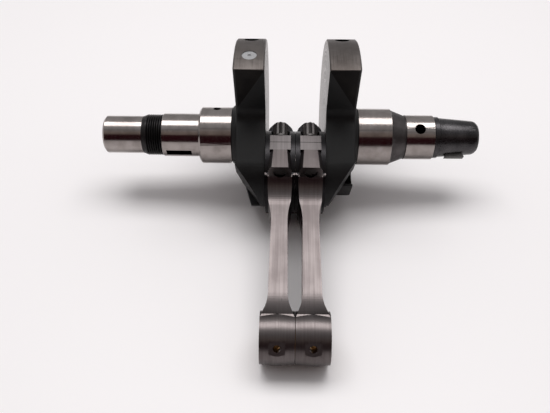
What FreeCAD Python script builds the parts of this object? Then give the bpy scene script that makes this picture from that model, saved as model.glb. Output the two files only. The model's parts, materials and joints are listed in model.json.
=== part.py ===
"""Crankshaft of a small two-cylinder engine with both connecting rods on one crankpin.

Millimetres, +Z up.  The origin is on the main axis, at the middle of the left main journal.
X runs along the crankshaft.  The crankpin hangs forward (-Y) and down, and the rods reach forward.
Every piece is drawn about the middle of the two webs, in its own straight frame, and its
Placement turns it into the lying pose: the crankshaft about the main axis, and each rod with its
cap, bolts, shells and bush about the crankpin.
"""
import FreeCAD, Part
import math
import os
import Sketcher
from FreeCAD import Placement, Rotation, Vector

SIZES = {
    # lying pose
    "left_main_middle": 52.45,
    "throw_angle": 30.7,
    "rod_slope": 7.9,
    # turned steps of the left end, measured from the middle of the webs, and their radii
    "left_end": 128.9,
    "end_journal_inner": 103.0,
    "end_journal_radius": 12.6,
    "thread_outer": 99.8,
    "thread_inner": 90.3,
    "thread_radius": 13.75,
    "thread_pitch": 1.5,
    "thread_depth": 0.8,
    "gear_seat_outer": 89.4,
    "gear_seat_inner": 64.4,
    "gear_seat_radius": 14.5,
    "main_outer": 62.6,
    "main_inner": 42.3,
    "main_radius": 19.0,
    "collar_radius": 21.6,
    # turned steps of the right end
    "right_main_inner": 41.6,
    "right_main_outer": 63.2,
    "cone_end": 72.3,
    "seal_journal_inner": 73.6,
    "seal_journal_outer": 92.9,
    "seal_journal_radius": 14.9,
    "relief_end": 96.3,
    "relief_radius": 13.9,
    "taper_end": 119.4,
    "taper_big_radius": 13.25,
    "taper_small_radius": 11.3,
    "right_end": 122.3,
    # webs
    "web_inner": 19.45,
    "web_outer": 38.6,
    "rim_radius": 64.0,
    "fan_corner_across": 61.7,
    "fan_corner_below": 17.1,
    "waist_across": 24.5,
    "waist_below": 5.0,
    "neck_across": 23.4,
    "nose_radius": 23.4,
    "rim_chamfer": 0.8,
    "forging_round": 1.5,
    "waist_round": 9.0,
    # crankpin and the drillings
    "crank_throw": 25.8,
    "crankpin_radius": 17.0,
    "crankpin_bore_radius": 7.0,
    "oil_hole_radius": 2.5,
    "seal_hole_radius": 3.5,
    "seal_hole_middle": 82.3,
    "oil_hole_middle": 52.5,
    "feed_hole_radius": 3.0,
    "plug_radius": 8.0,
    "plug_length": 6.0,
    "balance_hole_radius": 4.75,
    "balance_hole_depth": 16.0,
    "balance_hole_angle": 38.6,
    "slug_angle": 62.8,
    "slug_radius": 4.6,
    "slug_length": 14.0,
    "slug_sink": 0.4,
    "end_bore_radius": 4.25,
    "end_bore_depth": 26.0,
    # keys
    "keyway_middle": 78.0,
    "keyway_length": 17.0,
    "keyway_width": 5.0,
    "keyway_depth": 3.0,
    "keyway_angle": 12.0,
    "woodruff_middle": 107.0,
    "woodruff_radius": 6.5,
    "woodruff_width": 4.0,
    "woodruff_sink": 1.4,
    # connecting rods
    "rod_pitch": 19.3,
    "rod_width": 19.0,
    "rod_length": 120.9,
    "big_end_bore_radius": 18.6,
    "big_end_radius": 27.05,
    "small_end_radius": 14.4,
    "small_end_crown": 15.2,
    "bush_outer_radius": 11.4,
    "small_end_bore_radius": 10.0,
    "small_oil_angle": 40.0,
    "small_oil_radius": 2.1,
    "small_pad_across": 4.4,
    "small_pad_along": 4.2,
    "lug_height": 28.5,
    "lug_across": 6.6,
    "cap_lug_back": 5.9,
    "rod_lug_front": 6.5,
    "boss_front": 21.5,
    "boss_back_radius": 6.8,
    "boss_front_radius": 7.4,
    "beam_across": 5.5,
    "shoulder_across": 7.6,
    "channel_depth": 3.2,
    "cap_rib_radius": 34.6,
    "cap_rib_across": 3.0,
    "cap_rib_foot": 8.6,
    "cap_rib_height": 16.8,
    # rod bolts
    "bolt_height": 23.2,
    "bolt_radius": 4.0,
    "bolt_flange_radius": 5.7,
    "bolt_flange": 1.6,
    "bolt_head": 11.4,
    "bolt_head_radius": 4.95,
    "bolt_end": 20.0,
    # bearing shells
    "shell_wall": 1.55,
    "shell_across": 8.6,
}

doc = FreeCAD.newDocument("crankshaft")
sheet = doc.addObject("Spreadsheet::Sheet", "sizes")
for row, (alias, size) in enumerate(SIZES.items(), start=1):
    sheet.set("A%d" % row, alias)
    sheet.set("B%d" % row, str(size))
    sheet.setAlias("B%d" % row, alias)
doc.recompute()

SIDES = {"left": -1, "right": 1}
PARTS = []


# ---------------------------------------------------------------- helpers

def size(alias):
    """A driving dimension, read back from the sheet."""
    return float(getattr(sheet, alias))


def bind(thing, **formulas):
    """Drive properties of a document object by formulas on the sheet's aliases."""
    for name, formula in formulas.items():
        thing.setExpression(name.replace("__", "."), formula)
    return thing


def value(formula):
    """The number a formula on the sheet's aliases gives."""
    return float(sheet.evalExpression(formula))


def plane_of(body, role):
    """One of a body's own origin planes or axes."""
    return next(item for item in body.Origin.OriginFeatures if item.Role == role)


def new_body(label):
    body = doc.addObject("PartDesign::Body", label)
    body.Label = label
    return body


def new_sketch(body, name, role, lift=None):
    """A sketch on an origin plane, lifted along its normal by a formula."""
    sketch = body.newObject("Sketcher::SketchObject", name)
    sketch.AttachmentSupport = (plane_of(body, role), [""])
    sketch.MapMode = "FlatFace"
    if lift is not None:
        sketch.setExpression(".AttachmentOffset.Base.z", lift)
    return sketch


def pin_point(sketch, line, end, across, up):
    """Hold one end of a sketch line at two formulas."""
    for kind, formula in (("DistanceX", across), ("DistanceY", up)):
        number = value(formula)
        index = sketch.addConstraint(Sketcher.Constraint(kind, -1, 1, line, end, number))
        sketch.setExpression("Constraints[%d]" % index, formula)


def draw_outline(sketch, corners):
    """A closed outline of straight lines; every corner is a pair of formulas."""
    points = [Vector(value(across), value(up), 0) for across, up in corners]
    first = sketch.GeometryCount
    count = len(points)
    for i in range(count):
        sketch.addGeometry(Part.LineSegment(points[i], points[(i + 1) % count]), False)
    for i in range(count):
        sketch.addConstraint(Sketcher.Constraint("Coincident", first + i, 2, first + (i + 1) % count, 1))
        pin_point(sketch, first + i, 1, corners[i][0], corners[i][1])


def draw_path(sketch, stations):
    """A closed outline of lines and arcs.

    Each station is (across, up, arc): the corner's two formulas, and for an arc that runs on to the
    next corner its radius formula, with a minus in front where it bows to the left of the way.
    """
    points = [Vector(value(across), value(up), 0) for across, up, arc in stations]
    count = len(stations)
    ends = []
    for i, (across, up, arc) in enumerate(stations):
        start, stop = points[i], points[(i + 1) % count]
        if arc is None:
            line = sketch.addGeometry(Part.LineSegment(start, stop), False)
            ends.append((line, 1, 2))
            continue
        radius = abs(value(arc))
        turn = 1 if value(arc) > 0 else -1
        chord = stop - start
        rise = math.sqrt(radius ** 2 - (chord.Length / 2) ** 2)
        left = Vector(-chord.y, chord.x, 0).normalize()
        centre = start + chord * 0.5 + left * (turn * rise)
        angles = [math.atan2(p.y - centre.y, p.x - centre.x) for p in (start, stop)]
        if turn < 0:
            angles.reverse()
        circle = Part.Circle(centre, Vector(0, 0, 1), radius)
        line = sketch.addGeometry(Part.ArcOfCircle(circle, angles[0], angles[1]), False)
        ends.append((line, 1, 2) if turn > 0 else (line, 2, 1))
    for i, (line, start, stop) in enumerate(ends):
        following, next_start, next_stop = ends[(i + 1) % count]
        sketch.addConstraint(Sketcher.Constraint("Coincident", line, stop, following, next_start))
        pin_point(sketch, line, start, stations[i][0], stations[i][1])
        if stations[i][2] is not None:
            radius = stations[i][2].lstrip("-")
            index = sketch.addConstraint(Sketcher.Constraint("Radius", line, value(radius)))
            sketch.setExpression("Constraints[%d]" % index, radius)


def draw_circle(sketch, across, up, radius):
    """A circle held at two formulas, with a formula for its radius."""
    centre = Vector(value(across), value(up), 0)
    line = sketch.addGeometry(Part.Circle(centre, Vector(0, 0, 1), value(radius)), False)
    pin_point(sketch, line, 3, across, up)
    index = sketch.addConstraint(Sketcher.Constraint("Radius", line, value(radius)))
    sketch.setExpression("Constraints[%d]" % index, radius)


def pad(body, name, sketch, length, reverse=False, both=False):
    feature = body.newObject("PartDesign::Pad", name)
    feature.Profile = sketch
    feature.Reversed = reverse
    feature.Midplane = both
    bind(feature, Length=length)
    return feature


def pocket(body, name, sketch, length, reverse=False, both=False):
    """A pocket that has to take material away."""
    doc.recompute()
    before = body.Shape.Volume
    feature = body.newObject("PartDesign::Pocket", name)
    feature.Profile = sketch
    feature.Reversed = reverse
    feature.Midplane = both
    bind(feature, Length=length)
    doc.recompute()
    if not body.Shape.Volume < before - 0.01:
        raise ValueError("%s cuts nothing" % name)
    return feature


def revolve(body, name, sketch):
    """A turned feature about the sketch's horizontal axis."""
    feature = body.newObject("PartDesign::Revolution", name)
    feature.Profile = sketch
    feature.ReferenceAxis = (sketch, ["H_Axis"])
    feature.Angle = 360.0
    return feature


def drill(body, name, radius, length, start, direction):
    """A round hole from a point along a direction; it has to take material away."""
    doc.recompute()
    before = body.Shape.Volume
    hole = body.newObject("PartDesign::SubtractiveCylinder", name)
    bind(hole, Radius=radius, Height=length)
    hole.Placement = Placement(start, Rotation(Vector(0, 0, 1), direction))
    doc.recompute()
    if not body.Shape.Volume < before - 0.01:
        raise ValueError("%s cuts nothing" % name)
    return hole


def round_edges(body, name, radius, chosen):
    """Round the edges of the body that a test picks."""
    doc.recompute()
    base = body.Tip
    names = ["Edge%d" % i for i, edge in enumerate(base.Shape.Edges, start=1) if chosen(edge)]
    if not names:
        raise ValueError("%s finds no edge" % name)
    feature = body.newObject("PartDesign::Fillet", name)
    feature.Base = (base, names)
    bind(feature, Radius=radius)
    doc.recompute()
    return feature


def keep(part, label, placement):
    """Name a finished piece and put it in the lying pose."""
    part.Label = label
    part.Placement = placement
    PARTS.append(part)
    return part


def on_circle(radius, degrees):
    """A point on a circle about X, measured from +Y towards +Z."""
    angle = math.radians(degrees)
    return Vector(0, radius * math.cos(angle), radius * math.sin(angle))


# ---------------------------------------------------------------- lying pose

CRANK_TURN = 90.0 + size("throw_angle")
CRANK_PLACE = Placement(Vector(size("left_main_middle"), 0, 0), Rotation(Vector(1, 0, 0), CRANK_TURN))
CRANKPIN_CENTRE = CRANK_PLACE.multVec(Vector(0, 0, size("crank_throw")))


def rod_place(side):
    """A rod's own frame: its crankpin bore at the origin, the rod along -Y, the lugs along Z."""
    along = Vector(side * size("rod_pitch") / 2, 0, 0)
    return Placement(CRANKPIN_CENTRE + along, Rotation(Vector(1, 0, 0), size("rod_slope")))


# ---------------------------------------------------------------- crankshaft forging

crank = new_body("crankshaft")


def turned_profile(name, corners):
    """A turned length of shaft from (distance along X, radius) formulas, closed along the axis."""
    sketch = new_sketch(crank, name + "_sketch", "XY_Plane")
    draw_outline(sketch, [(corners[0][0], "0")] + corners + [(corners[-1][0], "0")])
    revolve(crank, name, sketch)


turned_profile("left_shaft", [
    ("-sizes.left_end", "sizes.end_journal_radius - 1.2"),
    ("-sizes.left_end + 1.2", "sizes.end_journal_radius"),
    ("-sizes.end_journal_inner", "sizes.end_journal_radius"),
    ("-sizes.thread_outer", "sizes.thread_radius"),
    ("-sizes.thread_inner", "sizes.thread_radius"),
    ("-sizes.thread_inner + 0.5", "sizes.thread_radius - 1.1"),
    ("-sizes.gear_seat_outer", "sizes.thread_radius - 1.1"),
    ("-sizes.gear_seat_outer", "sizes.gear_seat_radius - 0.6"),
    ("-sizes.gear_seat_outer + 0.6", "sizes.gear_seat_radius"),
    ("-sizes.gear_seat_inner", "sizes.gear_seat_radius"),
    ("-sizes.gear_seat_inner + 0.3", "sizes.gear_seat_radius - 0.4"),
    ("-sizes.main_outer - 1.2", "sizes.gear_seat_radius - 0.4"),
    ("-sizes.main_outer - 1.2", "sizes.main_radius - 1.2"),
    ("-sizes.main_outer", "sizes.main_radius"),
    ("-sizes.main_inner", "sizes.main_radius"),
    ("-sizes.main_inner + 0.2", "sizes.main_radius - 0.4"),
    ("-sizes.main_inner + 0.7", "sizes.main_radius - 0.4"),
    ("-sizes.main_inner + 0.7", "sizes.main_radius + 0.6"),
    ("-sizes.web_outer - 0.6", "sizes.collar_radius"),
    ("-sizes.web_inner - 4", "sizes.collar_radius"),
])

for name, side in SIDES.items():
    outward = name == "left"
    face = "%d * sizes.web_inner" % side
    thickness = "sizes.web_outer - sizes.web_inner"

    disc = new_sketch(crank, name + "_disc_sketch", "YZ_Plane", face)
    draw_circle(disc, "0", "0", "sizes.rim_radius")
    pad(crank, name + "_disc", disc, thickness, reverse=outward)

    slope = "(sizes.fan_corner_below - sizes.waist_below) / (sizes.fan_corner_across - sizes.waist_across)"
    past_rim = "-sizes.fan_corner_below - (80 - sizes.fan_corner_across) * " + slope
    trim = new_sketch(crank, name + "_trim_sketch", "YZ_Plane", face)
    draw_outline(trim, [
        ("-80", past_rim),
        ("-sizes.waist_across", "-sizes.waist_below"),
        ("sizes.waist_across", "-sizes.waist_below"),
        ("80", past_rim),
        ("80", "80"),
        ("-80", "80"),
    ])
    pocket(crank, name + "_trim", trim, thickness, reverse=not outward)

    neck = new_sketch(crank, name + "_neck_sketch", "YZ_Plane", face)
    draw_outline(neck, [
        ("-sizes.waist_across", "-sizes.waist_below - 1"),
        ("sizes.waist_across", "-sizes.waist_below - 1"),
        ("sizes.waist_across", "-sizes.waist_below"),
        ("sizes.neck_across", "sizes.crank_throw"),
        ("-sizes.neck_across", "sizes.crank_throw"),
        ("-sizes.waist_across", "-sizes.waist_below"),
    ])
    pad(crank, name + "_neck", neck, thickness, reverse=outward)

    nose = new_sketch(crank, name + "_nose_sketch", "YZ_Plane", face)
    draw_circle(nose, "0", "sizes.crank_throw", "sizes.nose_radius")
    pad(crank, name + "_nose", nose, thickness, reverse=outward)

    if side < 0:
        pin = new_sketch(crank, "crankpin_sketch", "YZ_Plane")
        draw_circle(pin, "0", "sizes.crank_throw", "sizes.crankpin_radius")
        pad(crank, "crankpin", pin, "2 * sizes.web_inner + 2", both=True)

turned_profile("right_shaft", [
    ("sizes.web_inner + 4", "sizes.collar_radius"),
    ("sizes.web_outer + 0.3", "sizes.collar_radius"),
    ("sizes.right_main_inner - 0.7", "sizes.main_radius + 0.6"),
    ("sizes.right_main_inner - 0.7", "sizes.main_radius - 0.4"),
    ("sizes.right_main_inner - 0.2", "sizes.main_radius - 0.4"),
    ("sizes.right_main_inner", "sizes.main_radius"),
    ("sizes.right_main_outer", "sizes.main_radius"),
    ("sizes.right_main_outer + 0.8", "sizes.main_radius - 0.9"),
    ("sizes.cone_end", "sizes.seal_journal_radius - 0.1"),
    ("sizes.cone_end + 0.6", "sizes.seal_journal_radius - 0.4"),
    ("sizes.seal_journal_inner - 0.5", "sizes.seal_journal_radius - 0.4"),
    ("sizes.seal_journal_inner", "sizes.seal_journal_radius"),
    ("sizes.seal_journal_outer - 0.8", "sizes.seal_journal_radius"),
    ("sizes.seal_journal_outer", "sizes.relief_radius"),
    ("sizes.relief_end - 0.5", "sizes.relief_radius"),
    ("sizes.relief_end", "sizes.taper_big_radius"),
    ("sizes.taper_end", "sizes.taper_small_radius"),
    ("sizes.taper_end + 1.4", "sizes.taper_small_radius - 0.5"),
    ("sizes.right_end", "sizes.taper_small_radius - 2"),
])


def along_x_at(edge, across, up):
    """True for a straight edge along X that stands at the given place."""
    middle = edge.CenterOfMass
    flat = abs(edge.tangentAt(edge.FirstParameter).x) > 0.999
    return flat and abs(abs(middle.y) - across) < 0.05 and abs(middle.z - up) < 0.05


round_edges(crank, "waist_rounds", "sizes.waist_round",
            lambda edge: along_x_at(edge, size("waist_across"), -size("waist_below")))


def on_forged_outline(edge):
    """True for the forged edges of the webs' outer faces, outside the turned collars."""
    box = edge.BoundBox
    outer_face = box.XLength < 0.01 and abs(abs(box.XMin) - size("web_outer")) < 0.01
    middle = edge.valueAt((edge.FirstParameter + edge.LastParameter) / 2)
    distance = math.hypot(middle.y, middle.z)
    return outer_face and size("collar_radius") + 0.5 < distance < size("rim_radius") - 0.5


round_edges(crank, "forging_rounds", "sizes.forging_round", on_forged_outline)

# what the noses keep of their thickness, as (thickness, height) from the outer face to the tip; the
# half towards +Y and the half towards -Y are cut apart
NOSE_TIP = size("crank_throw") + size("nose_radius")
NOSE_BEVELS = {
    ("left", "front"): [(19.15, 29.0), (3.4, NOSE_TIP)],
    ("left", "rear"): [(19.15, 14.5), (9.0, NOSE_TIP)],
    ("right", "front"): [(19.15, 26.0), (3.0, NOSE_TIP)],
    ("right", "rear"): [(19.15, 35.4), (7.8, 35.4), (1.0, NOSE_TIP)],
}
for (name, half), edge_line in NOSE_BEVELS.items():
    side = SIDES[name]
    bevel = new_sketch(crank, "%s_%s_bevel_sketch" % (name, half), "XZ_Plane")
    corners = [("%d * (sizes.web_inner + %g)" % (side, thickness), "%g" % height)
               for thickness, height in edge_line]
    corners.append((corners[-1][0], "%g" % (NOSE_TIP + 5)))
    corners.append(("%d * (sizes.web_outer + 5)" % side, "%g" % (NOSE_TIP + 5)))
    corners.append(("%d * (sizes.web_outer + 5)" % side, corners[0][1]))
    draw_outline(bevel, corners)
    pocket(crank, "%s_%s_bevel" % (name, half), bevel, "2 * sizes.neck_across", reverse=half == "rear")

# small chamfers round both edges of each rim
chamfers = new_sketch(crank, "rim_chamfer_sketch", "XY_Plane")
for side in SIDES.values():
    for face, way in (("sizes.web_inner", 1), ("sizes.web_outer", -1)):
        outside = "%d * (%s - %d * 0.5)" % (side, face, way)
        draw_outline(chamfers, [
            (outside, "sizes.rim_radius - sizes.rim_chamfer - 0.5"),
            ("%d * (%s + %d * (sizes.rim_chamfer + 0.5))" % (side, face, way), "sizes.rim_radius + 0.5"),
            (outside, "sizes.rim_radius + 0.5"),
        ])
rim_chamfers = crank.newObject("PartDesign::Groove", "rim_chamfers")
rim_chamfers.Profile = chamfers
rim_chamfers.ReferenceAxis = (chamfers, ["H_Axis"])
rim_chamfers.Angle = 360.0
doc.recompute()

thread = new_sketch(crank, "thread_groove_sketch", "XY_Plane")
draw_outline(thread, [
    ("-sizes.thread_outer + 0.9 - sizes.thread_pitch * 0.42", "sizes.thread_radius + 0.02"),
    ("-sizes.thread_outer + 0.9", "sizes.thread_radius - sizes.thread_depth"),
    ("-sizes.thread_outer + 0.9 + sizes.thread_pitch * 0.42", "sizes.thread_radius + 0.02"),
])
groove = crank.newObject("PartDesign::Groove", "thread_groove")
groove.Profile = thread
groove.ReferenceAxis = (thread, ["H_Axis"])
groove.Angle = 360.0
doc.recompute()
turns = crank.newObject("PartDesign::LinearPattern", "thread_grooves")
turns.Originals = [groove]
turns.Direction = (plane_of(crank, "X_Axis"), [""])
turns.Occurrences = int((size("thread_outer") - size("thread_inner") - 0.9) / size("thread_pitch")) + 1
bind(turns, Length="sizes.thread_pitch * %d" % (turns.Occurrences - 1))
crank.Tip = turns
doc.recompute()

# drillings for oil
AXIAL = Vector(1, 0, 0)
drill(crank, "feed_hole", "sizes.feed_hole_radius", "sizes.left_end - sizes.oil_hole_middle + 3",
      Vector(-size("left_end") - 0.01, 0, 0), AXIAL)
OIL_HOLE_ANGLES = {"left": -47.0, "right": -129.0}
for name, side in SIDES.items():
    journal_centre = Vector(side * size("oil_hole_middle"), 0, 0)
    drill(crank, name + "_journal_oil_hole", "sizes.oil_hole_radius", "sizes.main_radius + 1",
          journal_centre, on_circle(1, OIL_HOLE_ANGLES[name]))
    to_pin = Vector(side * (size("web_inner") + 3), 0, size("crank_throw")) - journal_centre
    drill(crank, name + "_oil_way", "sizes.oil_hole_radius - 0.3", "%f" % to_pin.Length, journal_centre, to_pin)
    bore_end = Vector(side * (size("web_outer") + 2), 0, size("crank_throw"))
    drill(crank, name + "_crankpin_bore", "sizes.crankpin_bore_radius", "sizes.web_outer + 3", bore_end,
          AXIAL * -side)
    drill(crank, name + "_plug_seat", "sizes.plug_radius", "sizes.web_outer + 2 - sizes.web_inner - 6",
          bore_end, AXIAL * -side)
    pin_hole = Vector(side * size("rod_pitch") / 2, 0, size("crank_throw"))
    drill(crank, name + "_crankpin_oil_hole", "sizes.oil_hole_radius - 0.3", "sizes.crankpin_radius + 1",
          pin_hole, on_circle(1, 40))
drill(crank, "seal_journal_hole", "sizes.seal_hole_radius", "sizes.seal_journal_radius + 1",
      Vector(size("seal_hole_middle"), 0, 0), Vector(0, 1, 0))
drill(crank, "end_bore", "sizes.end_bore_radius", "sizes.end_bore_depth", Vector(size("right_end") + 0.01, 0, 0),
      -AXIAL)
drill(crank, "end_oil_way", "sizes.feed_hole_radius", "sizes.right_end - sizes.end_bore_depth - sizes.seal_hole_middle + 3",
      Vector(size("right_end") - size("end_bore_depth") + 0.5, 0, 0), -AXIAL)

# balance drillings in the rims, measured from the middle of each counterweight
for name, angle, radius, depth in (
        ("left_balance_hole", "balance_hole_angle", "balance_hole_radius", "balance_hole_depth"),
        ("left_slug_hole", "slug_angle", "slug_radius", "slug_length"),
        ("right_balance_hole", "balance_hole_angle", "balance_hole_radius", "balance_hole_depth")):
    side = -1 if name.startswith("left") else 1
    rim_point = on_circle(size("rim_radius") + 1, size(angle) - 90)
    rim_point.x = side * (size("web_inner") + size("web_outer")) / 2
    inward = on_circle(-1, size(angle) - 90)
    drill(crank, name, "sizes." + radius, "sizes.%s + 1" % depth, rim_point, inward)

# keyway in the gear seat: a straight slot with square ends
KEYWAY_TURN = Rotation(Vector(1, 0, 0), -size("keyway_angle"))
keyway_floor = Vector(0, 0, size("gear_seat_radius") - size("keyway_depth"))
keyway = new_sketch(crank, "keyway_sketch", "XY_Plane")
keyway.AttachmentOffset = Placement(KEYWAY_TURN.multVec(keyway_floor), KEYWAY_TURN)
keyway_from = "-sizes.keyway_middle - sizes.keyway_length / 2"
keyway_to = "-sizes.keyway_middle + sizes.keyway_length / 2"
draw_outline(keyway, [
    (keyway_from, "-sizes.keyway_width / 2"),
    (keyway_to, "-sizes.keyway_width / 2"),
    (keyway_to, "sizes.keyway_width / 2"),
    (keyway_from, "sizes.keyway_width / 2"),
])
pocket(crank, "keyway", keyway, "6", reverse=True)

# seat of the half-moon key in the taper
woodruff_height = size("taper_big_radius") + 2.55
drill(crank, "woodruff_seat", "sizes.woodruff_radius", "sizes.woodruff_width",
      Vector(size("woodruff_middle"), -size("woodruff_width") / 2, woodruff_height), Vector(0, 1, 0))

keep(crank, "crankshaft", CRANK_PLACE)


# ---------------------------------------------------------------- small pieces on the crankshaft

def cylinder(name, radius, height, start, direction):
    piece = doc.addObject("Part::Cylinder", name)
    bind(piece, Radius=radius, Height=height)
    piece.Placement = Placement(start, Rotation(Vector(0, 0, 1), direction))
    return piece


def box(name, corner, length, width, height):
    piece = doc.addObject("Part::Box", name)
    bind(piece, Length=length, Width=width, Height=height)
    piece.Placement.Base = corner
    return piece


def cut(name, base, tool):
    piece = doc.addObject("Part::Cut", name)
    piece.Base = base
    piece.Tool = tool
    return piece


def fuse(name, pieces):
    piece = doc.addObject("Part::MultiFuse", name)
    piece.Shapes = pieces
    piece.Refine = True
    return piece


key_disc = cylinder("key_disc", "sizes.woodruff_radius", "sizes.woodruff_width",
                    Vector(size("woodruff_middle"), -size("woodruff_width") / 2, woodruff_height),
                    Vector(0, 1, 0))
key_top = box("key_top", Vector(size("woodruff_middle") - 10, -5, woodruff_height - size("woodruff_sink")),
              "20", "10", "10")
keep(cut("woodruff_key", key_disc, key_top), "woodruff_key", CRANK_PLACE)

slug_place = on_circle(size("rim_radius") - size("slug_sink"), size("slug_angle") - 90)
slug_place.x = -(size("web_inner") + size("web_outer")) / 2
slug = cylinder("slug_body", "sizes.slug_radius", "sizes.slug_length - sizes.slug_sink", slug_place,
                on_circle(-1, size("slug_angle") - 90))
slug_mark = cylinder("slug_mark", "1.2", "1", on_circle(size("rim_radius") + 0.1, size("slug_angle") - 90)
                     + Vector(slug_place.x, 0, 0), on_circle(-1, size("slug_angle") - 90))
keep(cut("balance_slug_left", slug, slug_mark), "balance_slug_left", CRANK_PLACE)

for name, side in SIDES.items():
    seat_floor = Vector(side * (size("web_inner") + 6), 0, size("crank_throw"))
    plug = cylinder(name + "_plug_body", "sizes.plug_radius", "sizes.plug_length", seat_floor, AXIAL * side)
    socket = doc.addObject("Part::Prism", name + "_plug_socket")
    socket.Polygon = 6
    bind(socket, Circumradius="4.6", Height="6")
    socket.Placement = Placement(seat_floor + AXIAL * side * 2.5, Rotation(Vector(0, 0, 1), AXIAL * side))
    keep(cut("crankpin_plug_" + name, plug, socket), "crankpin_plug_" + name, CRANK_PLACE)


# ---------------------------------------------------------------- connecting rods

def mirrored_path(half):
    """Close a path by its mirror image below the rod's axis; arcs keep their bow."""
    lower = []
    for i in range(len(half) - 1, -1, -1):
        across, up, arc = half[i]
        back_arc = half[i - 1][2] if i > 0 else None
        lower.append((across, "-(%s)" % up, back_arc))
    return half[:-1] + [half[-1]] + lower


def primitive(body, kind, name, place, **formulas):
    """An additive or subtractive primitive of a body, driven by formulas."""
    feature = body.newObject("PartDesign::" + kind, name)
    bind(feature, **formulas)
    feature.Placement = place
    return feature


def trim_box(body, name, corner, length, width, height, turn=Rotation()):
    """Cut a box away; it has to take material away."""
    doc.recompute()
    before = body.Shape.Volume
    primitive(body, "SubtractiveBox", name, Placement(corner, turn), Length=length, Width=width, Height=height)
    doc.recompute()
    if not body.Shape.Volume < before - 0.01:
        raise ValueError("%s cuts nothing" % name)


ALONG_ROD = Vector(0, -1, 0)
LEVELS = {"upper": 1, "lower": -1}
ROD_END = Vector(0, -size("rod_length"), 0)
HALF_WIDTH = size("rod_width") / 2

# side view of the rod's fork, beam and small-end flare: distance along the rod, half height, arc on
SIDE_VIEW = [
    ("-8", "20.5", None),
    ("-21.5", "19.8", "-19.6"),
    ("-38", "10.8", None),
    ("-97", "9.4", "-37"),
    ("7.4 - sizes.rod_length", "13.2", None),
    ("-sizes.rod_length", "13.2", None),
]
# plan view: what stands outside this half width goes
PLAN_VIEW = [
    ("sizes.shoulder_across", "-20", None),
    ("sizes.shoulder_across", "-25", None),
    ("sizes.shoulder_across - 0.6", "-34", "60"),
    ("sizes.beam_across - 0.5", "-50", None),
    ("sizes.beam_across", "-94", "40"),
    ("sizes.beam_across + 2.4", "-110.5", "14"),
    ("sizes.rod_width / 2 + 0.2", "-116", None),
    ("sizes.rod_width / 2 + 3", "-116", None),
    ("sizes.rod_width / 2 + 3", "-20", None),
]
# the channel in each flank
CHANNEL = [
    ("-44", "5.8", None),
    ("-102", "4.6", "4.7"),
    ("-102", "-4.6", None),
    ("-44", "-5.8", "5.9"),
]


def make_rod(name, side):
    rod = new_body("rod_" + name)

    blank = new_sketch(rod, name + "_beam_sketch", "YZ_Plane")
    draw_path(blank, mirrored_path(SIDE_VIEW))
    pad(rod, name + "_beam", blank, "sizes.rod_width", both=True)

    for flank, turn in (("outer", 1), ("inner", -1)):
        plan = new_sketch(rod, "%s_%s_plan_sketch" % (name, flank), "XY_Plane")
        stations = [("%d * (%s)" % (turn, across), up, arc) for across, up, arc in PLAN_VIEW]
        if turn < 0:
            stations = [(across, up, None if arc is None else "-" + arc) for across, up, arc in stations]
        draw_path(plan, stations)
        pocket(rod, "%s_%s_plan" % (name, flank), plan, "60", both=True)

    for flank, turn in (("outer", 1), ("inner", -1)):
        channel = new_sketch(rod, "%s_%s_channel_sketch" % (name, flank), "YZ_Plane",
                             "%d * (sizes.beam_across - sizes.channel_depth)" % turn)
        draw_path(channel, CHANNEL)
        pocket(rod, "%s_%s_channel" % (name, flank), channel, "8", reverse=turn > 0)

    ring = new_sketch(rod, name + "_ring_sketch", "YZ_Plane")
    draw_circle(ring, "0", "0", "sizes.big_end_radius")
    pad(rod, name + "_ring", ring, "sizes.rod_width", both=True)

    for turn in (-1, 1):
        half = "outer" if turn > 0 else "inner"
        primitive(rod, "AdditiveCone", "%s_small_end_%s" % (name, half),
                  Placement(ROD_END, Rotation(Vector(0, 0, 1), AXIAL * turn)), Radius1="sizes.small_end_crown",
                  Radius2="sizes.small_end_radius", Height="sizes.rod_width / 2")

    for level, up in LEVELS.items():
        lug_floor = 12 if up > 0 else -size("lug_height")
        primitive(rod, "AdditiveBox", "%s_%s_lug" % (name, level),
                  Placement(Vector(-size("lug_across"), -size("rod_lug_front"), lug_floor), Rotation()),
                  Length="2 * sizes.lug_across", Width="sizes.rod_lug_front", Height="sizes.lug_height - 12")
        boss_start = Vector(0, -size("rod_lug_front"), up * size("bolt_height"))
        primitive(rod, "AdditiveCone", "%s_%s_boss" % (name, level),
                  Placement(boss_start, Rotation(Vector(0, 0, 1), ALONG_ROD)), Radius1="sizes.boss_back_radius",
                  Radius2="sizes.boss_front_radius", Height="sizes.boss_front - sizes.rod_lug_front")
        flat_floor = size("lug_height") if up > 0 else -size("lug_height") - 10
        trim_box(rod, "%s_%s_flat" % (name, level), Vector(-15, -40, flat_floor), "30", "50", "10")

    trim_box(rod, name + "_split", Vector(-20, 0, -50), "40", "60", "100")
    across_rod = Vector(-HALF_WIDTH - 1, 0, 0)
    drill(rod, name + "_big_bore", "sizes.big_end_bore_radius", "sizes.rod_width + 2", across_rod, AXIAL)
    drill(rod, name + "_small_bore", "sizes.bush_outer_radius", "sizes.rod_width + 2", ROD_END + across_rod, AXIAL)
    for level, up in LEVELS.items():
        drill(rod, "%s_%s_bolt_hole" % (name, level), "sizes.bolt_radius", "sizes.boss_front + 2",
              Vector(0, 1, up * size("bolt_height")), ALONG_ROD)

    tilt = Rotation(Vector(1, 0, 0), 90 - size("small_oil_angle"))
    pad_floor = size("small_end_crown") - 0.7
    pad_corner = Vector(-size("small_pad_across"), -size("small_pad_along"), pad_floor)
    trim_box(rod, name + "_oil_pad", ROD_END + tilt.multVec(pad_corner), "2 * sizes.small_pad_across",
             "2 * sizes.small_pad_along", "5", tilt)
    drill(rod, name + "_small_oil_hole", "sizes.small_oil_radius", "20", ROD_END, tilt.multVec(Vector(0, 0, 1)))
    return keep(rod, "rod_" + name, rod_place(side))


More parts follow.
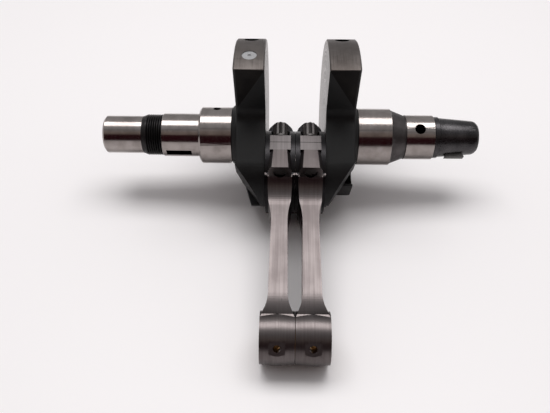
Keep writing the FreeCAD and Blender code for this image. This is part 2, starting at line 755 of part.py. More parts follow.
# crown rib of a cap: half width and radius about the crankpin
RIB_SECTION = [
    ("-sizes.cap_rib_foot", "22"),
    ("-sizes.cap_rib_foot", "sizes.big_end_radius - 0.6"),
    ("-sizes.cap_rib_foot + 1.2", "sizes.cap_rib_radius - 5"),
    ("-sizes.cap_rib_across - 1.6", "sizes.cap_rib_radius - 1.8"),
    ("-sizes.cap_rib_across", "sizes.cap_rib_radius - 0.4"),
    ("0", "sizes.cap_rib_radius"),
    ("sizes.cap_rib_across", "sizes.cap_rib_radius - 0.4"),
    ("sizes.cap_rib_across + 1.6", "sizes.cap_rib_radius - 1.8"),
    ("sizes.cap_rib_foot - 1.2", "sizes.cap_rib_radius - 5"),
    ("sizes.cap_rib_foot", "sizes.big_end_radius - 0.6"),
    ("sizes.cap_rib_foot", "22"),
]


def make_cap(name, side):
    cap = new_body("cap_" + name)
    rib = new_sketch(cap, name + "_cap_rib_sketch", "XY_Plane")
    draw_outline(rib, RIB_SECTION)
    revolve(cap, name + "_cap_rib", rib)
    for level, up in LEVELS.items():
        floor = size("cap_rib_height") if up > 0 else -50
        ceiling = "50 - sizes.cap_rib_height"
        trim_box(cap, "%s_%s_rib_side" % (name, level), Vector(-20, -50, floor), "40", "100", ceiling)
    ring = new_sketch(cap, name + "_cap_ring_sketch", "YZ_Plane")
    draw_circle(ring, "0", "0", "sizes.big_end_radius")
    pad(cap, name + "_cap_ring", ring, "sizes.rod_width", both=True)
    for level, up in LEVELS.items():
        lug_floor = 12 if up > 0 else -size("lug_height")
        primitive(cap, "AdditiveBox", "%s_%s_cap_lug" % (name, level),
                  Placement(Vector(-size("lug_across"), 0, lug_floor), Rotation()),
                  Length="2 * sizes.lug_across", Width="sizes.cap_lug_back", Height="sizes.lug_height - 12")
    trim_box(cap, name + "_cap_split", Vector(-20, -60, -50), "40", "60", "100")
    drill(cap, name + "_cap_bore", "sizes.big_end_bore_radius", "sizes.rod_width + 2",
          Vector(-HALF_WIDTH - 1, 0, 0), AXIAL)
    for level, up in LEVELS.items():
        bolt_axis = Vector(0, 0, up * size("bolt_height"))
        drill(cap, "%s_%s_cap_seat" % (name, level), "sizes.bolt_flange_radius + 0.5", "40",
              bolt_axis + Vector(0, size("cap_lug_back"), 0), Vector(0, 1, 0))
        drill(cap, "%s_%s_cap_hole" % (name, level), "sizes.bolt_radius", "sizes.cap_lug_back + 2",
              bolt_axis - Vector(0, 1, 0), Vector(0, 1, 0))
    return keep(cap, "cap_" + name, rod_place(side))


def make_bolt(name, side, level, up):
    """A rod bolt with a washer face and a twelve-point head, its shank in the tapped hole."""
    label = "rod_bolt_%s_%s" % (name, level)
    axis = Vector(0, 1, 0)
    height = Vector(0, 0, up * size("bolt_height"))
    shank = cylinder(label + "_shank", "sizes.bolt_radius", "sizes.bolt_end + sizes.cap_lug_back",
                     height - axis * size("bolt_end"), axis)
    flange = cylinder(label + "_flange", "sizes.bolt_flange_radius", "sizes.bolt_flange",
                      height + axis * size("cap_lug_back"), axis)
    head_start = height + axis * (size("cap_lug_back") + size("bolt_flange"))
    head = []
    for turn in (0, 30):
        hexagon = doc.addObject("Part::Prism", "%s_head_%d" % (label, turn))
        hexagon.Polygon = 6
        bind(hexagon, Circumradius="sizes.bolt_head_radius", Height="sizes.bolt_head")
        hexagon.Placement = Placement(head_start, Rotation(Vector(0, 0, 1), axis) * Rotation(Vector(0, 0, 1), turn))
        head.append(hexagon)
    bulk = fuse(label + "_bulk", [shank, flange] + head)
    dimple = doc.addObject("Part::Cone", label + "_dimple")
    bind(dimple, Radius1="2.6", Radius2="1.6", Height="2")
    dimple.Placement = Placement(head_start + axis * (size("bolt_head") + 0.01), Rotation(Vector(0, 0, 1), -axis))
    return keep(cut(label, bulk, dimple), label, rod_place(side))


def make_shell(name, side, half, start):
    """One half of the split big-end bearing."""
    label = "bearing_shell_%s_%s" % (name, half)
    across = Vector(-size("shell_across"), 0, 0)
    outer = cylinder(label + "_outer", "sizes.big_end_bore_radius", "2 * sizes.shell_across", across, AXIAL)
    inner = cylinder(label + "_inner", "sizes.big_end_bore_radius - sizes.shell_wall",
                     "2 * sizes.shell_across + 2", across - AXIAL, AXIAL)
    other_half = box(label + "_other_half", Vector(-20, start, -30), "40", "40", "60")
    ring = cut(label + "_ring", outer, inner)
    return keep(cut(label, ring, other_half), label, rod_place(side))


def make_bush(name, side):
    """Bronze bush of the small end, drilled for oil."""
    label = "small_end_bush_" + name
    start = ROD_END - AXIAL * HALF_WIDTH
    outer = cylinder(label + "_outer", "sizes.bush_outer_radius", "sizes.rod_width", start, AXIAL)
    inner = cylinder(label + "_inner", "sizes.small_end_bore_radius", "sizes.rod_width + 2", start - AXIAL, AXIAL)
    tilt = Rotation(Vector(1, 0, 0), 90 - size("small_oil_angle"))
    oil = cylinder(label + "_oil_hole", "sizes.small_oil_radius - 0.5", "20", ROD_END,
                   tilt.multVec(Vector(0, 0, 1)))
    edges = []
    for turn in (-1, 1):
        cone = doc.addObject("Part::Cone", "%s_edge_%s" % (label, "outer" if turn > 0 else "inner"))
        bind(cone, Radius1="sizes.small_end_bore_radius + 0.5", Radius2="sizes.small_end_bore_radius - 0.5",
             Height="1")
        cone.Placement = Placement(ROD_END + AXIAL * turn * HALF_WIDTH, Rotation(Vector(0, 0, 1), AXIAL * -turn))
        edges.append(cone)
    ring = cut(label + "_ring", outer, inner)
    return keep(cut(label, ring, fuse(label + "_openings", edges + [oil])), label, rod_place(side))


for name, side in SIDES.items():
    make_rod(name, side)
    make_cap(name, side)
    for level, up in LEVELS.items():
        make_bolt(name, side, level, up)
    make_shell(name, side, "rod_half", 0)
    make_shell(name, side, "cap_half", -40)
    make_bush(name, side)


# ---------------------------------------------------------------- checks and files

doc.recompute()
failed = [item.Name for item in doc.Objects if "Invalid" in item.State or "Error" in item.State]
if failed:
    raise ValueError("failed objects: " + ", ".join(failed))
os.makedirs("parts", exist_ok=True)
for part in PARTS:
    shape = part.Shape
    if shape.isNull() or not shape.isValid() or len(shape.Solids) != 1:
        raise ValueError("%s is not one valid solid" % part.Label)
    shape.exportStep("parts/%s.step" % part.Label)
    print("%-34s %10.1f mm3" % (part.Label, shape.Volume))
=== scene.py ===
"""Looks of a lying crankshaft with two connecting rods on its crankpin.

The forged webs are black, the rims and inner faces milled, the journals ground, the taper dark.
Metres; +X along the shaft towards the taper, the rods reach towards -Y, +Z up.
"""

import json
import math

import bmesh
import bpy
from mathutils import Matrix, Vector


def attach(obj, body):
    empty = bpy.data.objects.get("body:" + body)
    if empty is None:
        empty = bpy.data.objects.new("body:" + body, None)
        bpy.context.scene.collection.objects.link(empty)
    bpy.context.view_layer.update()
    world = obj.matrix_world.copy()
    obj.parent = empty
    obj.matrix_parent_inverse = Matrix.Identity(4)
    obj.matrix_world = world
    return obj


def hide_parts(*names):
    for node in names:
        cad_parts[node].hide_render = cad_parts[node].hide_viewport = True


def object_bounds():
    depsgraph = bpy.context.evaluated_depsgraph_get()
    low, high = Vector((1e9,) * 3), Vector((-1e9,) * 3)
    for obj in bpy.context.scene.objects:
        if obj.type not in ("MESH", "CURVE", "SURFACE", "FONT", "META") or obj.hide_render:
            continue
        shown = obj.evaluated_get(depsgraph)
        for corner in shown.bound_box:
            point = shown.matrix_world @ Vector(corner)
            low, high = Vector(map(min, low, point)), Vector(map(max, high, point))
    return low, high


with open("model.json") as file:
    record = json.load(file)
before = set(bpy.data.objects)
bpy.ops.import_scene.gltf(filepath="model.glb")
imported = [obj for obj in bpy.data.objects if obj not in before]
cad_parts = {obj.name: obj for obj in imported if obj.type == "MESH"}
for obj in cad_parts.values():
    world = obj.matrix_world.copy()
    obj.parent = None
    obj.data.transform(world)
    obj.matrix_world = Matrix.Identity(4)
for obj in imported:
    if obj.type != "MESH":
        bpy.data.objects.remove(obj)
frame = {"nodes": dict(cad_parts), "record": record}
CAD_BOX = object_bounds()
MM = 0.001

JOINTS = {joint["name"]: joint for joint in frame["record"]["behaviour"]["joints"]}
MOUNTS = {mount["name"]: mount for mount in frame["record"]["mounts"]}
ROD_X = {side: JOINTS[side + "_rod_swing"]["pos_m"][0] for side in ("left", "right")}
WEB_MIDDLE = (ROD_X["left"] + ROD_X["right"]) / 2
CRANKPIN = Vector((WEB_MIDDLE, *JOINTS["left_rod_swing"]["pos_m"][1:]))
PISTON_PIN = Vector((WEB_MIDDLE, *MOUNTS["small_end_bore_left"]["pos_m"][1:]))
ALONG = (PISTON_PIN - CRANKPIN).normalized()
UPRIGHT = Vector((0, -ALONG.z, ALONG.y)) * (1 if ALONG.y > 0 else -1)
FLOOR = CAD_BOX[0].z


# ------------------------------------------------------------ node building

def add(tree, kind, inputs=None, **settings):
    """A node with its settings, its inputs linked or set."""
    made = tree.nodes.new(kind)
    for name, value in settings.items():
        setattr(made, name, value)
    for name, value in (inputs or {}).items():
        if isinstance(value, bpy.types.NodeSocket):
            tree.links.new(value, made.inputs[name])
        else:
            made.inputs[name].default_value = value
    return made


def maths(tree, operation, first, second=0.0):
    return add(tree, "ShaderNodeMath", {0: first, 1: second}, operation=operation).outputs[0]


def spread(tree, value, low, high, to_low=0.0, to_high=1.0):
    """Map a value's range on to another, held at both ends."""
    inputs = {"Value": value, "From Min": low, "From Max": high, "To Min": to_low, "To Max": to_high}
    return add(tree, "ShaderNodeMapRange", inputs, interpolation_type="SMOOTHSTEP").outputs["Result"]


def blend_colour(tree, amount, first, second):
    return add(tree, "ShaderNodeMix", {0: amount, 6: first, 7: second}, data_type="RGBA").outputs[2]


def noise(tree, where, scale, detail=3.0, roughness=0.5):
    inputs = {"Vector": where, "Scale": scale, "Detail": detail, "Roughness": roughness}
    return add(tree, "ShaderNodeTexNoise", inputs).outputs["Fac"]


def stretch(tree, where, scales):
    """Object coordinates scaled on each axis."""
    return add(tree, "ShaderNodeMapping", {"Vector": where, "Scale": scales}).outputs[0]


def group(name, takes, gives):
    """An empty shader group with named inputs and outputs."""
    tree = bpy.data.node_groups.new(name, "ShaderNodeTree")
    for label, kind, value in takes:
        socket = tree.interface.new_socket(label, in_out="INPUT", socket_type=kind)
        if value is not None:
            socket.default_value = value
    for label, kind in gives:
        tree.interface.new_socket(label, in_out="OUTPUT", socket_type=kind)
    return tree, tree.nodes.new("NodeGroupInput").outputs, tree.nodes.new("NodeGroupOutput").inputs


def place(tree, made, inputs):
    """A shared group's outputs, in a material's own tree."""
    return add(tree, "ShaderNodeGroup", inputs, node_tree=made).outputs


# ------------------------------------------------------------ shared effects

def turning_marks():
    """Fine lines round the main axis, as a lathe or grinding wheel leaves, with faint smudges."""
    takes = [("Where", "NodeSocketVector", None), ("Lines", "NodeSocketFloat", 2200.0)]
    gives = [("Lines", "NodeSocketFloat"), ("Smudge", "NodeSocketFloat")]
    tree, given, out = group("turning_marks", takes, gives)
    drawn_out = {0: given["Where"], 1: (1, 0.012, 0.012)}
    fine = add(tree, "ShaderNodeVectorMath", drawn_out, operation="MULTIPLY")
    tree.links.new(noise(tree, fine.outputs[0], given["Lines"], 4, 0.7), out["Lines"])
    tree.links.new(noise(tree, given["Where"], 90.0, 4, 0.6), out["Smudge"])
    return tree


def forged_skin():
    """Scale left by forging: broad dents, a fine grain, and patches."""
    takes = [("Where", "NodeSocketVector", None)]
    gives = [("Height", "NodeSocketFloat"), ("Patch", "NodeSocketFloat"), ("Grain", "NodeSocketFloat")]
    tree, given, out = group("forged_skin", takes, gives)
    dents = noise(tree, given["Where"], 70.0, 3, 0.55)
    grain = noise(tree, given["Where"], 1400.0, 3, 0.6)
    tree.links.new(maths(tree, "ADD", dents, maths(tree, "MULTIPLY", grain, 0.22)), out["Height"])
    tree.links.new(noise(tree, given["Where"], 38.0, 5, 0.62), out["Patch"])
    tree.links.new(grain, out["Grain"])
    return tree


def circular_marks():
    """Lines round the main axis on a flat face, from a facing cut."""
    takes = [("Where", "NodeSocketVector", None), ("Pitch", "NodeSocketFloat", 0.0006)]
    gives = [("Lines", "NodeSocketFloat"), ("Stain", "NodeSocketFloat")]
    tree, given, out = group("circular_marks", takes, gives)
    parts = add(tree, "ShaderNodeSeparateXYZ", {0: given["Where"]}).outputs
    square = maths(tree, "ADD", maths(tree, "MULTIPLY", parts["Y"], parts["Y"]),
                   maths(tree, "MULTIPLY", parts["Z"], parts["Z"]))
    radius = maths(tree, "DIVIDE", maths(tree, "SQRT", square), given["Pitch"])
    around = maths(tree, "MULTIPLY", maths(tree, "ARCTAN2", parts["Z"], parts["Y"]), 0.6)
    ring = add(tree, "ShaderNodeCombineXYZ", {0: radius, 1: around}).outputs[0]
    tree.links.new(noise(tree, ring, 1.0, 3, 0.6), out["Lines"])
    broad = maths(tree, "MULTIPLY", radius, 0.12)
    stains = add(tree, "ShaderNodeCombineXYZ", {0: broad, 1: around}).outputs[0]
    tree.links.new(noise(tree, stains, 1.3, 4, 0.65), out["Stain"])
    return tree


TURNING = turning_marks()
FORGED = forged_skin()
CIRCULAR = circular_marks()


# ------------------------------------------------------------ materials

def material(name, metallic, roughness, colour=(0.5, 0.5, 0.5, 1)):
    """A material with its node tree, its Principled shader and its Object coordinates."""
    made = bpy.data.materials.new(name)
    made.use_nodes = True
    tree = made.node_tree
    shader = tree.nodes["Principled BSDF"]
    shader.inputs["Metallic"].default_value = metallic
    shader.inputs["Roughness"].default_value = roughness
    shader.inputs["Base Color"].default_value = colour
    where = add(tree, "ShaderNodeTexCoord").outputs["Object"]
    return made, tree, shader, where


def colour_into(tree, shader, socket):
    tree.links.new(socket, shader.inputs["Base Color"])


def roughness_into(tree, shader, socket):
    tree.links.new(socket, shader.inputs["Roughness"])


def bump_into(tree, shader, height, strength, distance):
    bump = add(tree, "ShaderNodeBump", {"Height": height, "Strength": strength, "Distance": distance})
    tree.links.new(bump.outputs[0], shader.inputs["Normal"])


def ground_steel(name, bright, dull, low, high, lines=2200.0):
    """Ground or polished shaft steel: mirror-like round the shaft, finely lined along it."""
    made, tree, shader, where = material(name, 1.0, 0.2)
    marks = place(tree, TURNING, {"Where": where, "Lines": lines})
    colour_into(tree, shader, blend_colour(tree, spread(tree, marks["Smudge"], 0.35, 0.7), bright, dull))
    mixed = maths(tree, "ADD", maths(tree, "MULTIPLY", marks["Lines"], 0.6),
                  maths(tree, "MULTIPLY", marks["Smudge"], 0.4))
    roughness_into(tree, shader, spread(tree, mixed, 0.35, 0.65, low, high))
    bump_into(tree, shader, marks["Lines"], 0.12, 0.00004)
    return made


def forged_black():
    made, tree, shader, where = material("forged_black", 0.0, 0.55)
    shader.inputs["Specular IOR Level"].default_value = 0.28
    skin = place(tree, FORGED, {"Where": where})
    dark, worn = (0.0035, 0.0035, 0.0038, 1), (0.0085, 0.0082, 0.0084, 1)
    colour_into(tree, shader, blend_colour(tree, spread(tree, skin["Patch"], 0.42, 0.72), dark, worn))
    roughness_into(tree, shader, spread(tree, skin["Patch"], 0.3, 0.7, 0.42, 0.6))
    bump_into(tree, shader, skin["Height"], 0.35, 0.0006)
    return made


def milled_rim():
    """Rim of the counterweights: machined through the forging skin, brown-grey with oil film."""
    made, tree, shader, where = material("milled_rim", 0.85, 0.42)
    marks = place(tree, TURNING, {"Where": where, "Lines": 1300.0})
    skin = place(tree, FORGED, {"Where": where})
    brown, grey = (0.072, 0.061, 0.056, 1), (0.135, 0.119, 0.112, 1)
    mix = maths(tree, "ADD", maths(tree, "MULTIPLY", marks["Lines"], 0.35),
                maths(tree, "MULTIPLY", skin["Patch"], 0.65))
    colour_into(tree, shader, blend_colour(tree, spread(tree, mix, 0.4, 0.62), brown, grey))
    roughness_into(tree, shader, spread(tree, marks["Lines"], 0.3, 0.7, 0.34, 0.5))
    bump_into(tree, shader, marks["Lines"], 0.25, 0.00006)
    return made


def faced_steel():
    """Inner faces of the webs, turned flat and lightly stained."""
    made, tree, shader, where = material("faced_steel", 0.95, 0.32)
    marks = place(tree, CIRCULAR, {"Where": where, "Pitch": 0.0007})
    bright, stained = (0.20, 0.185, 0.178, 1), (0.075, 0.056, 0.049, 1)
    colour_into(tree, shader, blend_colour(tree, spread(tree, marks["Stain"], 0.5, 0.74), bright, stained))
    roughness_into(tree, shader, spread(tree, marks["Lines"], 0.3, 0.7, 0.24, 0.42))
    bump_into(tree, shader, marks["Lines"], 0.3, 0.00008)
    return made


def dark_steel(name, first, second, low, high, metallic=0.9, strength=0.2):
    """Dark steel with a fine grain, for blued and phosphated parts and for the painted shade inside bores."""
    made, tree, shader, where = material(name, metallic, 0.4)
    skin = place(tree, FORGED, {"Where": where})
    colour_into(tree, shader, blend_colour(tree, spread(tree, skin["Patch"], 0.35, 0.68), first, second))
    roughness_into(tree, shader, spread(tree, skin["Grain"], 0.3, 0.7, low, high))
    bump_into(tree, shader, skin["Height"], strength, 0.0001)
    return made


STREAK_SCALES = (900, 14, 60)
SPLIT_COLOUR = (0.01, 0.009, 0.009, 1)


def rod_steel(name, first, second, low, high, split=0.0):
    """Satin steel of the rods: softly shot-peened with drawn streaks along the beam.

    Where rod and cap meet, a dark line of the given half width marks their split.
    """
    made, tree, shader, where = material(name, 1.0, 0.35)
    skin = place(tree, FORGED, {"Where": where})
    streaks = noise(tree, stretch(tree, where, STREAK_SCALES), 1.0, 4, 0.6)
    mix = maths(tree, "ADD", maths(tree, "MULTIPLY", streaks, 0.5),
                maths(tree, "MULTIPLY", skin["Patch"], 0.5))
    colour = blend_colour(tree, spread(tree, mix, 0.36, 0.66), first, second)
    if split:
        from_pin = add(tree, "ShaderNodeVectorMath", {0: where, 1: CRANKPIN}, operation="SUBTRACT")
        reach = add(tree, "ShaderNodeVectorMath", {0: from_pin.outputs[0], 1: ALONG}, operation="DOT_PRODUCT")
        along = reach.outputs["Value"]
        line = spread(tree, maths(tree, "ABSOLUTE", along), split * 0.5, split, 1.0, 0.0)
        colour = blend_colour(tree, line, colour, SPLIT_COLOUR)
    colour_into(tree, shader, colour)
    roughness_into(tree, shader, spread(tree, mix, 0.3, 0.7, low, high))
    height = maths(tree, "ADD", skin["Height"], maths(tree, "MULTIPLY", streaks, 0.3))
    bump_into(tree, shader, height, 0.22, 0.0002)
    return made


SPLIT_HALF_WIDTH = 0.26 * MM

GROUND = ground_steel("ground_steel", (0.36, 0.325, 0.31, 1), (0.26, 0.232, 0.22, 1), 0.11, 0.22)
CONE = ground_steel("matte_turned_steel", (0.094, 0.086, 0.086, 1), (0.064, 0.058, 0.058, 1), 0.36, 0.5,
                    1500.0)
BLACK = forged_black()
RIM = milled_rim()
FACED = faced_steel()
THREAD = dark_steel("blackened_thread", (0.018, 0.017, 0.018, 1), (0.04, 0.037, 0.037, 1), 0.3, 0.5)
TAPER = dark_steel("dark_taper", (0.037, 0.035, 0.037, 1), (0.085, 0.081, 0.084, 1), 0.24, 0.36)
# near-black steel for bores, holes, slots and the keyway floor: dark oily steel, darkened further as painted
# shade of the recesses
BORE = dark_steel("oily_bore_painted_shade", (0.006, 0.005, 0.005, 1), (0.015, 0.013, 0.012, 1), 0.35, 0.55)
ROD = rod_steel("satin_rod_steel", (0.142, 0.125, 0.123, 1), (0.104, 0.089, 0.088, 1), 0.27, 0.38)
LUG = rod_steel("milled_lug_steel", (0.185, 0.168, 0.167, 1), (0.148, 0.135, 0.135, 1), 0.34, 0.48,
                SPLIT_HALF_WIDTH)
# near black for the caps and for the rods' big-end sides and lug flanks: the caps' dark steel, with painted
# shade on sides turned from the lamp
CAP = dark_steel("dark_cap_and_painted_shade", (0.010, 0.0095, 0.0105, 1), (0.026, 0.0245, 0.026, 1), 0.26, 0.42)
BOLT = dark_steel("phosphated_bolt", (0.095, 0.088, 0.086, 1), (0.135, 0.126, 0.124, 1), 0.3, 0.44)
BRONZE = ground_steel("reamed_bronze", (0.40, 0.25, 0.11, 1), (0.30, 0.18, 0.08, 1), 0.3, 0.45)
SHELL = ground_steel("bearing_metal", (0.48, 0.48, 0.47, 1), (0.38, 0.38, 0.37, 1), 0.25, 0.4)
SLUG = dark_steel("slug_metal", (0.36, 0.36, 0.37, 1), (0.48, 0.48, 0.49, 1), 0.3, 0.45)
KEY = dark_steel("key_steel", (0.050, 0.047, 0.046, 1), (0.085, 0.080, 0.078, 1), 0.3, 0.42)


# ------------------------------------------------------------ pieces from the CAD solids

MERGE = 0.002 * MM
WALL_FIT = 0.02 * MM
WALL_SLOPE = 0.2
WALL_FACING = 0.985
NEAREST_TO_AXIS = 0.5 * MM
SAME_PLANE = 0.999995
FLAT_AREA = 4.0 * MM ** 2
CREASE = math.cos(math.radians(30))


def loose_copy(node):
    """A copy of the node's mesh, its loose triangles joined."""
    mesh = frame["nodes"][node].data.copy()
    work = bmesh.new()
    work.from_mesh(mesh)
    bmesh.ops.remove_doubles(work, verts=work.verts, dist=MERGE)
    work.to_mesh(mesh)
    work.free()
    return mesh


def wall_axis(face, points, axes):
    """The axis, along X, that a face of a turned wall stands round, or None."""
    slope_x = face.normal.x
    slope_r = math.sqrt(max(1 - slope_x ** 2, 0))
    if slope_r < WALL_SLOPE:
        return None
    for axis in axes:
        arms = [Vector((0, point.y - axis.y, point.z - axis.z)) for point in points]
        reach = [arm.length for arm in arms]
        middle = sum(arms, Vector()) / 3
        facing = (face.normal.y * middle.y + face.normal.z * middle.z) / max(middle.length * slope_r, 1e-9)
        if min(reach) < NEAREST_TO_AXIS or abs(facing) < WALL_FACING:
            continue
        way = 1 if facing > 0 else -1
        levels = [r * slope_r * way + point.x * slope_x for r, point in zip(reach, points)]
        if max(levels) - min(levels) < WALL_FIT:
            return axis
    return None


def plane_areas(mesh, neighbours):
    """For each face, the area of the plane it lies in."""
    areas = [0.0] * len(mesh.polygons)
    seen = [False] * len(mesh.polygons)
    for start in range(len(mesh.polygons)):
        if seen[start]:
            continue
        seen[start] = True
        plane, queue = [start], [start]
        while queue:
            here = queue.pop()
            for other in neighbours[here]:
                level = mesh.polygons[other].normal.dot(mesh.polygons[start].normal)
                if not seen[other] and level > SAME_PLANE:
                    seen[other] = True
                    plane.append(other)
                    queue.append(other)
        area = sum(mesh.polygons[i].area for i in plane)
        for i in plane:
            areas[i] = area
    return areas


def true_normals(mesh, axes):
    """Corner normals: exact on turned walls, flat on planes, and blended where a round joins them."""
    by_edge, by_corner = {}, {}
    for face in mesh.polygons:
        for key in face.edge_keys:
            by_edge.setdefault(key, []).append(face.index)
        for corner in face.vertices:
            by_corner.setdefault(corner, []).append(face.index)
    neighbours = [[] for face in mesh.polygons]
    for pair in by_edge.values():
        for here in pair:
            neighbours[here].extend(other for other in pair if other != here)
    areas = plane_areas(mesh, neighbours)
    walls = [wall_axis(face, [mesh.vertices[i].co for i in face.vertices], axes) for face in mesh.polygons]

    def sure_normal(face, corner):
        axis = walls[face.index]
        if axis is not None:
            arm = mesh.vertices[corner].co - axis
            arm.x = 0
            arm.normalize()
            way = 1 if face.normal.dot(arm) > 0 else -1
            flat = math.sqrt(1 - face.normal.x ** 2)
            return Vector((face.normal.x, arm.y * flat * way, arm.z * flat * way))
        return face.normal.copy() if areas[face.index] > FLAT_AREA else None

    corners = []
    for face in mesh.polygons:
        for corner in face.vertices:
            own = sure_normal(face, corner)
            if own is None:
                near = [mesh.polygons[i] for i in by_corner[corner]]
                near = [other for other in near if other.normal.dot(face.normal) > CREASE]
                sure = [sure_normal(other, corner) for other in near]
                sure = [normal for normal in sure if normal is not None]
                own = sum(sure or [other.normal * other.area for other in near], Vector()).normalized()
            corners.append(own)
    mesh.normals_split_custom_set(corners)


def finished_piece(node, name, body, materials, choose):
    """Stand a piece in for a node, with each face's finish chosen by its place and direction."""
    mesh = loose_copy(node)
    mesh.materials.clear()
    for finish in materials:
        mesh.materials.append(finish)
    for face in mesh.polygons:
        face.material_index = materials.index(choose(face.center, face.normal))
        face.use_smooth = True
    true_normals(mesh, (Vector(), CRANKPIN, PISTON_PIN))
    mesh.name = name
    piece = bpy.data.objects.new(name, mesh)
    bpy.context.scene.collection.objects.link(piece)
    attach(piece, body)
    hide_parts(node)
    return piece


def span(name):
    """How far from the webs' middle a mount begins and ends along the shaft, and its radius, in mm."""
    mount = MOUNTS[name]
    middle = abs(mount["pos_m"][0] - WEB_MIDDLE) / MM
    half = mount["dims"]["length_mm"] / 2
    return middle - half, middle + half, mount["dims"]["r_mm"]


LEFT_MAIN, GEAR_SEAT, END_JOURNAL = span("left_main_journal"), span("gear_seat"), span("left_end_journal")
RIGHT_MAIN, SEAL = span("right_main_journal"), span("right_seal_journal")
END_BORE = span("right_end_bore")

# sizes on the crankshaft, in mm
SLACK = 0.02
EDGE = 1.3
THREAD_RELIEF = 0.62
UNDER_WALL = 0.9
TAPER_DROP = 3.2
WEB_FACE_IN, WEB_FACE_OUT = 19.6, 38.8
WEB_CENTRE = (WEB_FACE_IN + WEB_FACE_OUT) / 2
RIM_RADIUS = 64.0
PIN_WALL, PIN_BORE = 17.3, 8.2
BALANCE_DEPTHS = (44, 63)
BALANCE_HALF = 5.0
NOSE_REACH = 60

# how square to an axis a face stands
ALIGNED = 0.9


def walls_left():
    """Steps outward from the left web: reach from the webs' middle, wall radius and finish."""
    return (
        (LEFT_MAIN[0] - SLACK, LEFT_MAIN[2], BLACK),
        (LEFT_MAIN[1] + EDGE, LEFT_MAIN[2], GROUND),
        (GEAR_SEAT[1] + THREAD_RELIEF, GEAR_SEAT[2], GROUND),
        (END_JOURNAL[0] - SLACK, END_JOURNAL[2], THREAD),
        (END_JOURNAL[1] + EDGE, END_JOURNAL[2], GROUND),
    )


def walls_right():
    """Steps outward from the right web, in the same terms."""
    return (
        (RIGHT_MAIN[0] - SLACK, RIGHT_MAIN[2], BLACK),
        (RIGHT_MAIN[1] + SLACK, RIGHT_MAIN[2], GROUND),
        (SEAL[0] - SLACK, SEAL[2], CONE),
        (SEAL[1] + SLACK, SEAL[2], GROUND),
        (END_BORE[1] + EDGE, SEAL[2] - TAPER_DROP, TAPER),
    )


def crank_finish(centre, normal):
    """Finish of a crankshaft face."""
    x = (centre.x - WEB_MIDDLE) / MM
    radius = math.hypot(centre.y, centre.z) / MM
    at_pin = math.hypot(centre.y - CRANKPIN.y, centre.z - CRANKPIN.z) / MM
    across = abs(normal.x) > ALIGNED
    if abs(x) < WEB_FACE_IN and at_pin < PIN_WALL:
        return GROUND
    if abs(x) < WEB_FACE_IN and across:
        return FACED
    if abs(x) < WEB_FACE_OUT:
        if radius > RIM_RADIUS - UNDER_WALL:
            return RIM
        # the crankpin bore and the drilled balance holes get painted shade: near-black bore steel
        sunk = BALANCE_DEPTHS[0] < radius < BALANCE_DEPTHS[1]
        drilled = sunk and abs(abs(x) - WEB_CENTRE) < BALANCE_HALF and at_pin > NOSE_REACH
        return BORE if at_pin < PIN_BORE or drilled else BLACK
    for reach, wall, finish in (walls_right() if x > 0 else walls_left()):
        if abs(x) < reach:
            # faces sunk below a wall, such as the keyway floor, get near-black painted shade
            return BORE if radius < wall - UNDER_WALL and abs(normal.x) < ALIGNED else finish
    return GROUND


CRANK_FINISHES = [GROUND, CONE, BLACK, RIM, FACED, THREAD, TAPER, BORE]
finished_piece("crankshaft", "crankshaft_forging", "crank", CRANK_FINISHES, crank_finish)

# sizes on the rods and caps, in mm
BIG_END_WALL, SMALL_END_WALL = 18.8, 11.6
RING_RADIUS, RING_SIDE = 27.6, 6.9
LUG_HEIGHT, LUG_TOP = 19, 6.6
BOLT_HEIGHT, BOLT_HOLE, BOLT_REACH = 23.2, 4.1, 24
CAP_LUG_HEIGHT, CAP_LUG_BOTTOM, CAP_LUG_SIDE = 22, -6.0, 6.7
HOLE_SLOPE = 0.3


def rod_place(centre):
    """Distance along the rod from the crankpin, height above its axis, and radius about each pin, in mm."""
    from_pin = centre - Vector((centre.x, CRANKPIN.y, CRANKPIN.z))
    along, up = from_pin.dot(ALONG) / MM, from_pin.dot(UPRIGHT) / MM
    small = math.hypot(along - (PISTON_PIN - CRANKPIN).length / MM, up)
    return along, up, math.hypot(along, up), small


def beside_rod(centre):
    """Distance from the nearer rod's middle plane, in mm."""
    return abs(abs((centre.x - WEB_MIDDLE) / MM) - (ROD_X["right"] - ROD_X["left"]) / 2 / MM)


def rod_finish(centre, normal):
    """Finish of a connecting rod's face."""
    along, up, about_pin, about_small = rod_place(centre)
    beside = beside_rod(centre)
    upward = abs(normal.dot(UPRIGHT))
    # the big-end and small-end bores get near-black painted shade
    if about_pin < BIG_END_WALL or about_small < SMALL_END_WALL:
        return BORE
    turned = abs(normal.dot(ALONG) * along + normal.dot(UPRIGHT) * up) > ALIGNED * about_pin
    # the big end's sides and turned faces take the near-black cap steel as painted shade
    if about_pin < RING_RADIUS and (beside > RING_SIDE or turned):
        return CAP
    # unmilled lug faces also take the near-black cap steel as painted shade
    if along < LUG_TOP:
        milled = abs(up) > LUG_HEIGHT and (upward > ALIGNED or abs(normal.x) > ALIGNED)
        return LUG if milled else CAP
    # the bolt holes' walls get near-black painted shade
    drilled = along < BOLT_REACH and math.hypot(abs(up) - BOLT_HEIGHT, beside) < BOLT_HOLE
    if drilled and abs(normal.dot(ALONG)) < HOLE_SLOPE:
        return BORE
    return ROD


def cap_finish(centre, normal):
    """Finish of a big-end cap's face: its lugs are milled."""
    along, up, about_pin, about_small = rod_place(centre)
    on_lug = abs(up) > CAP_LUG_HEIGHT and along > CAP_LUG_BOTTOM and about_pin > CAP_LUG_HEIGHT
    return LUG if on_lug and beside_rod(centre) < CAP_LUG_SIDE else CAP


